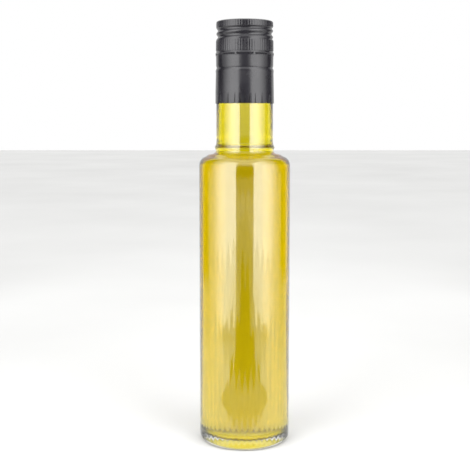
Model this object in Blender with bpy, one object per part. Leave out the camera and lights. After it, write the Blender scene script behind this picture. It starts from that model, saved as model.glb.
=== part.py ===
"""Slim 250 ml oil bottle: clear glass, filled with olive oil, shut with a long-skirt aluminium screw cap.

Three turned solids stand on one axis: the glass, the oil inside it and the cap over its mouth.
The origin is the middle of the foot ring, on the surface that the bottle stands on, and +Z is up.
"""

import math

import bmesh
import bpy

MM = 0.001

# Driving dimensions, in millimetres
BODY_RADIUS = 25.05
TOTAL_HEIGHT = 231.7
SHOULDER_Z = 159.6
SHOULDER_CORNER = 5.2
NECK_RADIUS = 15.55
NECK_FOOT_Z = 163.2
NECK_FOOT_RADIUS = 16.4
WAIST_RADIUS = 15.7
WALL = 2.4
NECK_WALL = 3.4
FLOOR_THICKNESS = 5.2
FOOT_RADIUS = 22.2
FOOT_WIDTH = 1.6
HEEL_HEIGHT = 3.4
PUSH_UP = 3.0
SKIRT_Z = 187.0
CAP_RADIUS = 15.78
SKIRT_RADIUS = 16.05
CAP_WALL = 0.32
GAP = 0.28
OIL_LEVEL = 205.0

# How finely the turned shapes are cut
GLASS_SIDES = 60
CAP_SIDES = 72
KNURLS = CAP_SIDES // 2
KNURL_DEPTH = 0.16

MOUTH_Z = TOTAL_HEIGHT - CAP_WALL - GAP
THREAD_NECK_RADIUS = 14.2
THREAD_NECK_Z = 201.0
BORE_RADIUS = NECK_RADIUS - NECK_WALL
INNER_RADIUS = BODY_RADIUS - WALL


def arc(centre_r, centre_z, radius_r, radius_z, start_deg, end_deg, steps):
    """Points (r, z) along an ellipse's arc, both ends included."""
    points = []
    for i in range(steps + 1):
        angle = math.radians(start_deg + (end_deg - start_deg) * i / steps)
        points.append((centre_r + radius_r * math.cos(angle), centre_z + radius_z * math.sin(angle)))
    return points


def turned(name, profile, sides):
    """Spins a profile of (r, z) millimetre points, from axis to axis, into one closed solid."""
    mesh = bmesh.new()
    previous = None
    for r, z in profile:
        vertex = mesh.verts.new((r * MM, 0.0, z * MM))
        if previous is not None:
            mesh.edges.new((previous, vertex))
        previous = vertex
    bmesh.ops.spin(
        mesh,
        geom=mesh.verts[:] + mesh.edges[:],
        axis=(0, 0, 1),
        cent=(0, 0, 0),
        angle=math.tau,
        steps=sides,
        use_duplicate=False,
    )
    bmesh.ops.remove_doubles(mesh, verts=mesh.verts, dist=0.002 * MM)
    bmesh.ops.recalc_face_normals(mesh, faces=mesh.faces)
    data = bpy.data.meshes.new(name)
    mesh.to_mesh(data)
    mesh.free()
    solid = bpy.data.objects.new(name, data)
    bpy.context.scene.collection.objects.link(solid)
    data.shade_smooth()
    data.set_sharp_from_angle(angle=math.radians(35))
    return solid


def material(name, colour, roughness, metallic=0.0, alpha=1.0):
    finish = bpy.data.materials.new(name)
    finish.use_nodes = True
    shader = finish.node_tree.nodes["Principled BSDF"]
    shader.inputs["Base Color"].default_value = (*colour, 1.0)
    shader.inputs["Roughness"].default_value = roughness
    shader.inputs["Metallic"].default_value = metallic
    shader.inputs["Alpha"].default_value = alpha
    return finish


def shoulder(outer_radius, top_z, corner, inner_r):
    """The nearly flat dome from the body's side, round its corner, in to inner_r."""
    side = arc(outer_radius - corner, top_z - 1.3 - corner, corner, corner, 0, 78, 5)
    rise = [(inner_r + 4.5, top_z - 0.75), (inner_r + 1.6, top_z - 0.1)]
    return side + rise


def cavity(clearance):
    """The inside of the bottle from the middle of the floor up to the neck's bore, drawn in by clearance."""
    radius = INNER_RADIUS - clearance
    bore = BORE_RADIUS - clearance
    floor_z = FLOOR_THICKNESS + clearance
    corner = 4.6
    ceiling = SHOULDER_Z - WALL - clearance
    floor = [(0.0, floor_z + PUSH_UP * 0.5), (9.0, floor_z + PUSH_UP * 0.35)]
    heel = arc(radius - corner, floor_z + corner, corner, corner, -90, 0, 4)
    roof_corner = 5.0
    roof = arc(radius - roof_corner, ceiling - roof_corner, roof_corner, roof_corner, 0, 68, 4)
    throat_radius = 2.6
    throat = arc(bore + throat_radius, ceiling + 1.2 + throat_radius, throat_radius, throat_radius, -100, -180, 4)
    return floor + heel + roof + throat


def glass_bottle():
    """The bottle: pushed-up base, foot ring, rounded heel, straight body, flat shoulder and stepped neck."""
    base = [(0.0, PUSH_UP), (9.0, PUSH_UP * 0.8), (16.0, PUSH_UP * 0.3)]
    base += [(FOOT_RADIUS - FOOT_WIDTH, 0.0), (FOOT_RADIUS, 0.0)]
    heel = arc(FOOT_RADIUS, HEEL_HEIGHT, BODY_RADIUS - FOOT_RADIUS, HEEL_HEIGHT, -62, 0, 4)
    top = shoulder(BODY_RADIUS, SHOULDER_Z, SHOULDER_CORNER, WAIST_RADIUS)
    waist = [(WAIST_RADIUS + 0.3, SHOULDER_Z + 0.7), (WAIST_RADIUS, SHOULDER_Z + 1.7)]
    neck_foot = [
        (NECK_FOOT_RADIUS, NECK_FOOT_Z - 0.4),
        (NECK_FOOT_RADIUS, NECK_FOOT_Z),
        (NECK_RADIUS + 0.2, NECK_FOOT_Z + 1.4),
        (NECK_RADIUS, NECK_FOOT_Z + 2.8),
    ]
    mouth = [
        (NECK_RADIUS, THREAD_NECK_Z),
        (THREAD_NECK_RADIUS, THREAD_NECK_Z + 2.0),
        (THREAD_NECK_RADIUS, MOUTH_Z - 0.8),
        (THREAD_NECK_RADIUS - 0.8, MOUTH_Z),
        (BORE_RADIUS + 0.5, MOUTH_Z),
        (BORE_RADIUS, MOUTH_Z - 0.5),
    ]
    inside = list(reversed(cavity(0.0)))
    solid = turned("glass_bottle", base + heel + top + waist + neck_foot + mouth + inside, GLASS_SIDES)
    solid.data.materials.append(material("clear_glass", (0.86, 0.89, 0.87), 0.05, alpha=0.35))
    return solid


def olive_oil():
    """The oil, which fills the body and the neck up to a level hidden behind the cap's skirt."""
    top = [(BORE_RADIUS - GAP, OIL_LEVEL), (0.0, OIL_LEVEL)]
    solid = turned("olive_oil", cavity(GAP) + top, GLASS_SIDES)
    solid.data.materials.append(material("oil", (0.62, 0.50, 0.02), 0.1))
    return solid


# The cap's outer outline from the skirt's edge upwards: height, radius
CAP_OUTLINE = (
    (SKIRT_Z, SKIRT_RADIUS),
    (194.0, SKIRT_RADIUS - 0.05),
    (203.4, CAP_RADIUS),
    (204.3, CAP_RADIUS + 0.14),
    (205.2, CAP_RADIUS),
    (206.2, CAP_RADIUS - 0.5),
    (207.2, CAP_RADIUS - 0.15),
    (212.4, CAP_RADIUS - 0.1),
    (213.0, CAP_RADIUS + 0.12),
    (213.5, CAP_RADIUS - 0.25),
    (214.1, CAP_RADIUS + 0.15),
    (215.0, CAP_RADIUS - 0.3),
    (215.5, CAP_RADIUS - 0.05),
    (220.8, CAP_RADIUS - 0.1),
    (221.8, CAP_RADIUS - 0.85),
    (223.0, CAP_RADIUS - 0.3),
    (224.6, CAP_RADIUS - 1.1),
    (226.2, CAP_RADIUS - 0.3),
    (227.5, CAP_RADIUS - 1.1),
    (228.6, CAP_RADIUS - 0.25),
    (230.6, CAP_RADIUS - 0.3),
    (231.3, CAP_RADIUS - 0.75),
    (TOTAL_HEIGHT, CAP_RADIUS - 1.8),
)
KNURL_BANDS = ((215.4, 220.9), (228.5, 230.7))


def cut_knurls(solid):
    """Presses upright grooves into the two knurled bands of the cap's outer face."""
    for vertex in solid.data.vertices:
        x, y, z = vertex.co
        radius = math.hypot(x, y)
        in_band = any(low <= z / MM <= high for low, high in KNURL_BANDS)
        if in_band and radius > (CAP_RADIUS - 0.6) * MM:
            turn = math.atan2(y, x)
            depth = KNURL_DEPTH * MM * (1 - math.cos(KNURLS * turn)) / 2
            vertex.co.x -= depth * math.cos(turn)
            vertex.co.y -= depth * math.sin(turn)


def screw_cap():
    """The cap: one drawn aluminium shell, knurled, threaded and beaded, with a long skirt."""
    outside = [(radius, z) for z, radius in CAP_OUTLINE]
    outside.append((0.0, TOTAL_HEIGHT))
    bore = THREAD_NECK_RADIUS + 0.2
    inside = [
        (0.0, TOTAL_HEIGHT - CAP_WALL),
        (bore - 0.6, TOTAL_HEIGHT - CAP_WALL),
        (bore, TOTAL_HEIGHT - CAP_WALL - 0.7),
        (bore, THREAD_NECK_Z + 2.4),
        (NECK_RADIUS + GAP - 0.1, THREAD_NECK_Z + 0.9),
        (NECK_RADIUS + GAP - 0.05, 194.0),
        (NECK_RADIUS + GAP, SKIRT_Z),
    ]
    solid = turned("screw_cap", outside + inside + [outside[0]], CAP_SIDES)
    cut_knurls(solid)
    solid.data.materials.append(material("black_lacquer", (0.03, 0.03, 0.033), 0.35, metallic=0.3))
    return solid


def main():
    for old in list(bpy.data.objects):
        bpy.data.objects.remove(old)
    glass_bottle()
    olive_oil()
    screw_cap()


main()
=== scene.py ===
"""A slim clear glass bottle of olive oil with a black long-skirt screw cap, on a pale studio floor."""

import math

import bpy
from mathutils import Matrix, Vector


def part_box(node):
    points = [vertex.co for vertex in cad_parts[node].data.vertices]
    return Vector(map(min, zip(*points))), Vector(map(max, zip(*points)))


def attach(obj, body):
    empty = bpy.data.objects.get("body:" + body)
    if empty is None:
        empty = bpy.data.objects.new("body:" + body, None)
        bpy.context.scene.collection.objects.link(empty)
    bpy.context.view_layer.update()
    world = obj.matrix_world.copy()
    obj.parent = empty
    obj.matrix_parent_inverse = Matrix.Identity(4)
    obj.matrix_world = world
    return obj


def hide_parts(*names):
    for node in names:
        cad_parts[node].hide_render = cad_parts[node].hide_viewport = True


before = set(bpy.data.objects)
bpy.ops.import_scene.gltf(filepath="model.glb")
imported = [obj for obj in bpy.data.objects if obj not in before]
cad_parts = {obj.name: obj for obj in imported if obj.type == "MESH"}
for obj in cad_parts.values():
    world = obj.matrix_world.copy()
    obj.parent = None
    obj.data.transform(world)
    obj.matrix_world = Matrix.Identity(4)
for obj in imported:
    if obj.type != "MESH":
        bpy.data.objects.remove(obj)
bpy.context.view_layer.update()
bpy.ops.object.select_all(action="DESELECT")

# The glass bottle
# One piece of clear flint glass, blown in a mould: a pushed-up base on a stippled foot ring,
# a straight body, a nearly flat shoulder, an undercut waist and a straight neck.
MM = 0.001
body_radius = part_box("glass_bottle")[1][0] / MM
mouth_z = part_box("glass_bottle")[1][2] / MM
wall = 2.4
neck_radius = 15.55
neck_wall = 3.4
bore_radius = neck_radius - neck_wall
shoulder_z = 159.6
shoulder_corner = 5.2
waist_radius = 15.7
neck_foot_z = 163.2
neck_foot_radius = 16.4
foot_radius = 22.2
foot_width = 1.6
heel_height = 3.4
push_up = 3.0
floor_thickness = 5.2
thread_neck_radius = 14.2
thread_neck_z = 201.0
stipple_count = 50
stipple_depth = 0.22
glass_sides = stipple_count * 4


def arc(centre_r, centre_z, radius_r, radius_z, start_deg, end_deg, steps):
    """Points (r, z) along an ellipse's arc, both ends included."""
    points = []
    for i in range(steps + 1):
        angle = math.radians(start_deg + (end_deg - start_deg) * i / steps)
        points.append((centre_r + radius_r * math.cos(angle), centre_z + radius_z * math.sin(angle)))
    return points


def turned(name, profile, sides):
    """Draws a ring along a profile of (r, z) millimetres, as on a lathe, and closes both poles."""
    pole = 0.001
    radius, height = max(profile[0][0], pole), profile[0][1]
    bpy.ops.mesh.primitive_circle_add(vertices=sides, radius=radius * MM, location=(0, 0, height * MM))
    piece = bpy.context.active_object
    piece.name = name
    bpy.ops.object.transform_apply(location=True, rotation=True, scale=True)
    bpy.ops.object.mode_set(mode="EDIT")
    bpy.ops.mesh.select_mode(type="EDGE")
    bpy.ops.mesh.select_all(action="SELECT")
    for next_radius, next_height in profile[1:]:
        next_radius = max(next_radius, pole)
        rise = (0, 0, (next_height - height) * MM)
        bpy.ops.mesh.extrude_edges_move(TRANSFORM_OT_translate={"value": rise})
        grow = next_radius / radius
        bpy.ops.transform.resize(value=(grow, grow, 1), center_override=(0, 0, 0))
        radius, height = next_radius, next_height
    bpy.ops.mesh.select_all(action="SELECT")
    bpy.ops.mesh.remove_doubles(threshold=0.004 * MM)
    bpy.ops.mesh.normals_make_consistent(inside=False)
    bpy.ops.object.mode_set(mode="OBJECT")
    bpy.ops.object.shade_smooth_by_angle(angle=math.radians(35))
    return piece


def mottle_group():
    """Slow cloudy unevenness over a surface, as a value between Low and High."""
    group = bpy.data.node_groups.new("Mottle", "ShaderNodeTree")
    for name, value in (("Scale", 60.0), ("Low", 0.0), ("High", 1.0)):
        socket = group.interface.new_socket(name, in_out="INPUT", socket_type="NodeSocketFloat")
        socket.default_value = value
    group.interface.new_socket("Value", in_out="OUTPUT", socket_type="NodeSocketFloat")
    nodes, links = group.nodes, group.links
    given = nodes.new("NodeGroupInput")
    result = nodes.new("NodeGroupOutput")
    place = nodes.new("ShaderNodeTexCoord")
    noise = nodes.new("ShaderNodeTexNoise")
    noise.inputs["Detail"].default_value = 3.0
    spread = nodes.new("ShaderNodeMapRange")
    spread.inputs["From Min"].default_value = 0.3
    spread.inputs["From Max"].default_value = 0.7
    links.new(place.outputs["Object"], noise.inputs["Vector"])
    links.new(given.outputs["Scale"], noise.inputs["Scale"])
    links.new(noise.outputs["Fac"], spread.inputs["Value"])
    links.new(given.outputs["Low"], spread.inputs["To Min"])
    links.new(given.outputs["High"], spread.inputs["To Max"])
    links.new(spread.outputs["Result"], result.inputs["Value"])
    return group


mottle = mottle_group()


def finish(name, dark, light, rough_low, rough_high, scale):
    """A material whose colour and roughness both drift between two values over the surface."""
    material = bpy.data.materials.new(name)
    material.use_nodes = True
    nodes, links = material.node_tree.nodes, material.node_tree.links
    shader = nodes["Principled BSDF"]
    tone = nodes.new("ShaderNodeGroup")
    tone.node_tree = mottle
    tone.inputs["Scale"].default_value = scale
    mix = nodes.new("ShaderNodeMix")
    mix.data_type = "RGBA"
    mix.inputs["A"].default_value = (*dark, 1)
    mix.inputs["B"].default_value = (*light, 1)
    links.new(tone.outputs["Value"], mix.inputs["Factor"])
    links.new(mix.outputs["Result"], shader.inputs["Base Color"])
    polish = nodes.new("ShaderNodeGroup")
    polish.node_tree = mottle
    polish.inputs["Scale"].default_value = scale * 1.7
    polish.inputs["Low"].default_value = rough_low
    polish.inputs["High"].default_value = rough_high
    links.new(polish.outputs["Value"], shader.inputs["Roughness"])
    return material, shader


def waviness(material, shader, scale, distance):
    """The faint unevenness of a surface that was never ground."""
    nodes, links = material.node_tree.nodes, material.node_tree.links
    wave = nodes.new("ShaderNodeGroup")
    wave.node_tree = mottle
    wave.inputs["Scale"].default_value = scale
    bump = nodes.new("ShaderNodeBump")
    bump.inputs["Distance"].default_value = distance
    bump.inputs["Strength"].default_value = 0.3
    links.new(wave.outputs["Value"], bump.inputs["Height"])
    links.new(bump.outputs["Normal"], shader.inputs["Normal"])


def cavity(reach):
    """The inside of the bottle from the middle of the floor up into the bore, reaching into the wall."""
    radius = body_radius - wall + reach
    bore = bore_radius + reach
    floor_z = floor_thickness - reach
    corner = 4.6
    ceiling = shoulder_z - wall + reach
    base = [(0.0, floor_z + push_up * 0.5), (9.0, floor_z + push_up * 0.35)]
    heel = arc(radius - corner, floor_z + corner, corner, corner, -90, 0, 14)
    roof_corner = 5.0
    roof = arc(radius - roof_corner, ceiling - roof_corner, roof_corner, roof_corner, 0, 68, 12)
    throat_radius = 2.6
    throat_z = ceiling + 1.2 + throat_radius
    throat = arc(bore + throat_radius, throat_z, throat_radius, throat_radius, -100, -180, 12)
    return base + heel + roof + throat


base = [(0.0, push_up), (9.0, push_up * 0.8), (16.0, push_up * 0.3)]
base += [(foot_radius - foot_width, 0.0), (foot_radius, 0.0)]
heel = arc(foot_radius, heel_height, body_radius - foot_radius, heel_height, -62, 0, 12)
corner = arc(body_radius - shoulder_corner, shoulder_z - 1.3 - shoulder_corner,
             shoulder_corner, shoulder_corner, 0, 78, 14)
dome = [(waist_radius + 4.5, shoulder_z - 0.75), (waist_radius + 1.6, shoulder_z - 0.1)]
waist = [(waist_radius + 0.3, shoulder_z + 0.7), (waist_radius, shoulder_z + 1.7)]
neck_foot = [
    (neck_foot_radius, neck_foot_z - 0.4),
    (neck_foot_radius, neck_foot_z),
    (neck_radius + 0.2, neck_foot_z + 1.4),
    (neck_radius, neck_foot_z + 2.8),
]
mouth = [
    (neck_radius, thread_neck_z),
    (thread_neck_radius, thread_neck_z + 2.0),
    (thread_neck_radius, mouth_z - 0.8),
    (thread_neck_radius - 0.8, mouth_z),
    (bore_radius + 0.5, mouth_z),
    (bore_radius, mouth_z - 0.5),
]
inside = list(reversed(cavity(0.0)))
glass = turned("glass", base + heel + corner + dome + waist + neck_foot + mouth + inside, glass_sides)
for vertex in glass.data.vertices:
    x, y, z = vertex.co
    if 0.2 * MM < z < heel_height * MM and math.hypot(x, y) > foot_radius * MM:
        turn = math.atan2(y, x)
        dip = stipple_depth * MM * (1 - math.cos(stipple_count * turn)) / 2
        vertex.co.x -= dip * math.cos(turn)
        vertex.co.y -= dip * math.sin(turn)

clear_glass, shader = finish("clear_glass", (0.97, 0.98, 0.97), (1.0, 1.0, 1.0), 0.0, 0.01, 25)
shader.inputs["IOR"].default_value = 1.52
shader.inputs["Transmission Weight"].default_value = 1.0
waviness(clear_glass, shader, 30, 0.00005)
glass.data.materials.append(clear_glass)
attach(glass, "root")
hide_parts("glass_bottle")

# The olive oil
# Clear golden oil that fills the bottle to a level behind the cap's skirt. It reaches
# a little way into the wall, so no film of air shows between the oil and the glass.
oil_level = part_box("olive_oil")[1][2] / MM
oil_reach = 0.15
oil_colour = (0.960, 0.930, 0.04)
oil_density = 210
oil_top = [(bore_radius + oil_reach, oil_level), (0.0, oil_level)]
oil = turned("oil", cavity(oil_reach) + oil_top, glass_sides)
olive_oil, shader = finish("olive_oil", (0.98, 0.95, 0.80), (1.0, 0.98, 0.86), 0.0, 0.01, 12)
shader.inputs["IOR"].default_value = 1.47
shader.inputs["Transmission Weight"].default_value = 1.0
absorb = olive_oil.node_tree.nodes.new("ShaderNodeVolumeAbsorption")
absorb.inputs["Color"].default_value = (*oil_colour, 1)
absorb.inputs["Density"].default_value = oil_density
output = olive_oil.node_tree.nodes["Material Output"]
olive_oil.node_tree.links.new(absorb.outputs["Volume"], output.inputs["Volume"])
oil.data.materials.append(olive_oil)
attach(oil, "root")
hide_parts("olive_oil")

# The screw cap
# One drawn shell of thin aluminium under black satin lacquer, rolled onto the neck: two
# knurled bands, a rolled right-hand thread, a tear line of slits and a long plain skirt.
cap_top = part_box("screw_cap")[1][2] / MM
cap_radius = 15.78
skirt_z = 187.0
skirt_radius = 16.05
shell = 0.32
knurl_count = 72
knurl_depth = 0.16
knurl_bands = ((215.4, 220.9), (228.5, 230.7))
cap_sides = knurl_count * 4
thread_pitch = 3.4
thread_depth = 0.42
thread_low = 221.2
thread_high = 228.3
slit_z = 213.5
slit_depth = 0.4
bridge_count = 10
bridge_half_share = 0.07
thread_row_step = 0.3
thread_row_count = 24
thread_run_out = 0.8
lower_rows = [
    (skirt_radius, skirt_z), (skirt_radius - 0.05, 194.0), (cap_radius, 203.4),
    (cap_radius + 0.14, 204.3), (cap_radius, 205.2), (cap_radius - 0.5, 206.2),
    (cap_radius - 0.15, 207.2), (cap_radius - 0.1, 212.4), (cap_radius + 0.12, 213.0),
    (cap_radius - 0.35, slit_z), (cap_radius + 0.15, 214.1), (cap_radius - 0.3, 215.0),
    (cap_radius - 0.05, 215.5), (cap_radius - 0.1, 220.8),
]
thread_rows = [(cap_radius - 0.3, thread_low + thread_row_step * i) for i in range(thread_row_count)]
upper_rows = [
    (cap_radius - 0.25, 228.6), (cap_radius - 0.3, 230.6), (cap_radius - 0.45, 231.1),
    (cap_radius - 0.9, 231.45), (cap_radius - 1.8, cap_top), (0.0, cap_top),
]
bore = thread_neck_radius + 0.2
lining = [
    (0.0, cap_top - shell), (bore - 0.6, cap_top - shell), (bore, cap_top - shell - 0.7),
    (bore, thread_neck_z + 2.4), (neck_radius + 0.18, thread_neck_z + 0.9),
    (neck_radius + 0.23, 194.0), (neck_radius + 0.28, skirt_z), (skirt_radius, skirt_z),
]
cap = turned("cap", lower_rows + thread_rows + upper_rows + lining, cap_sides)
for vertex in cap.data.vertices:
    x, y, z = vertex.co
    radius = math.hypot(x, y) / MM
    height = z / MM
    if radius < cap_radius - 0.6:
        continue
    turn = math.atan2(y, x)
    dip = 0.0
    if any(low <= height <= high for low, high in knurl_bands):
        dip = knurl_depth * (1 - math.cos(knurl_count * turn)) / 2
    elif thread_low - 0.05 <= height <= thread_high + 0.05:
        run = (height - thread_low) / thread_pitch - turn / math.tau
        from_end = min(height - thread_low, thread_high - height)
        ends = min(1.0, from_end / thread_run_out)
        dip = thread_depth * max(0.0, ends) * (1 + math.cos(math.tau * run))
    elif abs(height - slit_z) < 0.1:
        from_bridge = abs((turn * bridge_count / math.tau + 0.5) % 1.0 - 0.5)
        dip = -slit_depth if from_bridge < bridge_half_share else 0.0
    vertex.co.x -= dip * MM * math.cos(turn)
    vertex.co.y -= dip * MM * math.sin(turn)

black_lacquer, shader = finish("black_lacquer", (0.011, 0.010, 0.013), (0.019, 0.018, 0.022), 0.19, 0.28, 90)
shader.inputs["Coat Weight"].default_value = 0.15
shader.inputs["Coat Roughness"].default_value = 0.22
waviness(black_lacquer, shader, 400, 0.00003)
cap.data.materials.append(black_lacquer)
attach(cap, "root")
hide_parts("screw_cap")

# The studio floor
# A wide sheet of matt off-white board that the bottle stands on.
floor_width = 8
bpy.ops.mesh.primitive_plane_add(size=floor_width, location=(0, 0, 0))
floor = bpy.context.active_object
floor.name = "floor"
pale_board, shader = finish("pale_board", (0.74, 0.74, 0.73), (0.80, 0.80, 0.79), 0.6, 0.75, 3)
floor.data.materials.append(pale_board)

# The two softboxes
# Upright fabric-fronted lights on the left and right, brightest in the middle and cut off
# sharply towards the camera, which leaves the dark stripe down the middle of the glass.
panel_distance = 0.42
panel_azimuth = math.radians(57)
panel_middle = 0.41
panel_size = (0.58, 0.80)
panel_glow = (1.0, 4.2)
for side in (-1, 1):
    bpy.ops.mesh.primitive_plane_add(size=1, location=(0, 0, 0))
    panel = bpy.context.active_object
    panel.name = "softbox_left" if side < 0 else "softbox_right"
    panel.scale = (panel_size[0], panel_size[1], 1)
    panel.rotation_euler = (math.radians(90), 0, side * panel_azimuth)
    across = side * panel_distance * math.sin(panel_azimuth)
    along = -panel_distance * math.cos(panel_azimuth)
    panel.location = (across, along, panel_middle)
    glow = bpy.data.materials.new(panel.name)
    glow.use_nodes = True
    nodes, links = glow.node_tree.nodes, glow.node_tree.links
    nodes.clear()
    place = nodes.new("ShaderNodeTexCoord")
    parts = nodes.new("ShaderNodeSeparateXYZ")
    spread = nodes.new("ShaderNodeMapRange")
    spread.interpolation_type = "SMOOTHSTEP"
    spread.inputs["From Min"].default_value = 0.5 * side
    spread.inputs["From Max"].default_value = -0.1 * side
    spread.inputs["To Min"].default_value = panel_glow[0]
    spread.inputs["To Max"].default_value = panel_glow[1]
    emission = nodes.new("ShaderNodeEmission")
    output = nodes.new("ShaderNodeOutputMaterial")
    links.new(place.outputs["Object"], parts.inputs["Vector"])
    links.new(parts.outputs["X"], spread.inputs["Value"])
    links.new(spread.outputs["Result"], emission.inputs["Strength"])
    links.new(emission.outputs["Emission"], output.inputs["Surface"])
    panel.data.materials.append(glow)

# The black cards
# Matt black card: one upright strip at each side, meant to darken the edges of the glass,
# and one lying flat in front, which keeps the middle of the glass clear.
card_distance = 0.35
card_azimuth = math.radians(115)
card_middle = 0.41
card_size = (0.17, 0.80)
front_card_size = (0.30, 0.94)
front_card_y = -0.555
card_lift = 0.001
black_card, shader = finish("black_card", (0.004, 0.004, 0.004), (0.008, 0.008, 0.008), 0.8, 0.95, 20)
shader.inputs["Specular IOR Level"].default_value = 0.1
cards = []
for side in (-1, 1):
    bpy.ops.mesh.primitive_plane_add(size=1, location=(0, 0, 0))
    card = bpy.context.active_object
    card.name = "card_left" if side < 0 else "card_right"
    card.scale = (card_size[0], card_size[1], 1)
    card.rotation_euler = (math.radians(90), 0, side * card_azimuth)
    across = side * card_distance * math.sin(card_azimuth)
    along = -card_distance * math.cos(card_azimuth)
    card.location = (across, along, card_middle)
    cards.append(card)
bpy.ops.mesh.primitive_plane_add(size=1, location=(0, 0, 0))
front_card = bpy.context.active_object
front_card.name = "card_front"
front_card.scale = (*front_card_size, 1)
front_card.location = (0, front_card_y, card_lift)
cards.append(front_card)
for card in cards:
    card.data.materials.append(black_card)

# The room
# White behind the bottle and above it, with a dark stretch at each side behind the softboxes.
overhead_white = 1.35
world = bpy.data.worlds.new("room")
bpy.context.scene.world = world
world.use_nodes = True
nodes, links = world.node_tree.nodes, world.node_tree.links
nodes.clear()
place = nodes.new("ShaderNodeTexCoord")
parts = nodes.new("ShaderNodeSeparateXYZ")
around = nodes.new("ShaderNodeMapRange")
around.inputs["From Min"].default_value = -1.0
around.inputs["From Max"].default_value = 1.0
ramp = nodes.new("ShaderNodeValToRGB")
stops = ((0.0, 0.02), (0.60, 0.12), (0.63, 0.03), (0.77, 0.03), (0.82, 0.85), (1.0, 0.85))
while len(ramp.color_ramp.elements) < len(stops):
    ramp.color_ramp.elements.new(0.5)
for element, (position, level) in zip(ramp.color_ramp.elements, stops):
    element.position = position
    element.color = (level, level, level, 1)
overhead = nodes.new("ShaderNodeMapRange")
overhead.interpolation_type = "SMOOTHSTEP"
overhead.inputs["From Min"].default_value = 0.45
overhead.inputs["From Max"].default_value = 0.65
lit = nodes.new("ShaderNodeMix")
lit.data_type = "RGBA"
lit.inputs["B"].default_value = (overhead_white, overhead_white, overhead_white, 1)
path = nodes.new("ShaderNodeLightPath")
seen = nodes.new("ShaderNodeMix")
seen.data_type = "RGBA"
seen.inputs["B"].default_value = (1, 1, 1, 1)
background = nodes.new("ShaderNodeBackground")
output = nodes.new("ShaderNodeOutputWorld")
links.new(place.outputs["Generated"], parts.inputs["Vector"])
links.new(parts.outputs["Y"], around.inputs["Value"])
links.new(around.outputs["Result"], ramp.inputs["Fac"])
links.new(path.outputs["Is Camera Ray"], seen.inputs["Factor"])
links.new(parts.outputs["Z"], overhead.inputs["Value"])
links.new(overhead.outputs["Result"], lit.inputs["Factor"])
links.new(ramp.outputs["Color"], lit.inputs["A"])
links.new(lit.outputs["Result"], seen.inputs["A"])
links.new(seen.outputs["Result"], background.inputs["Color"])
links.new(background.outputs["Background"], output.inputs["Surface"])
scene = bpy.context.scene
scene.view_settings.view_transform = "Standard"
scene.cycles.max_bounces = 24
scene.cycles.transmission_bounces = 20
scene.cycles.glossy_bounces = 6

# The camera
# A short telephoto level with the middle of the neck, tipped down a little. Part of the tilt
# is taken up by a vertical shift, so that the bottle's sides stay nearly parallel.
camera_place = (-0.0053, -0.498, 0.1814)
camera_tilt = 4.7
camera_data = bpy.data.cameras.new("camera")
camera_data.lens = 69.2
camera_data.sensor_width = 36
camera_data.shift_y = -0.10
camera_data.clip_start = 0.01
camera = bpy.data.objects.new("camera", camera_data)
scene.collection.objects.link(camera)
camera.location = camera_place
camera.rotation_euler = (math.radians(90 - camera_tilt), 0, 0)
scene.camera = camera
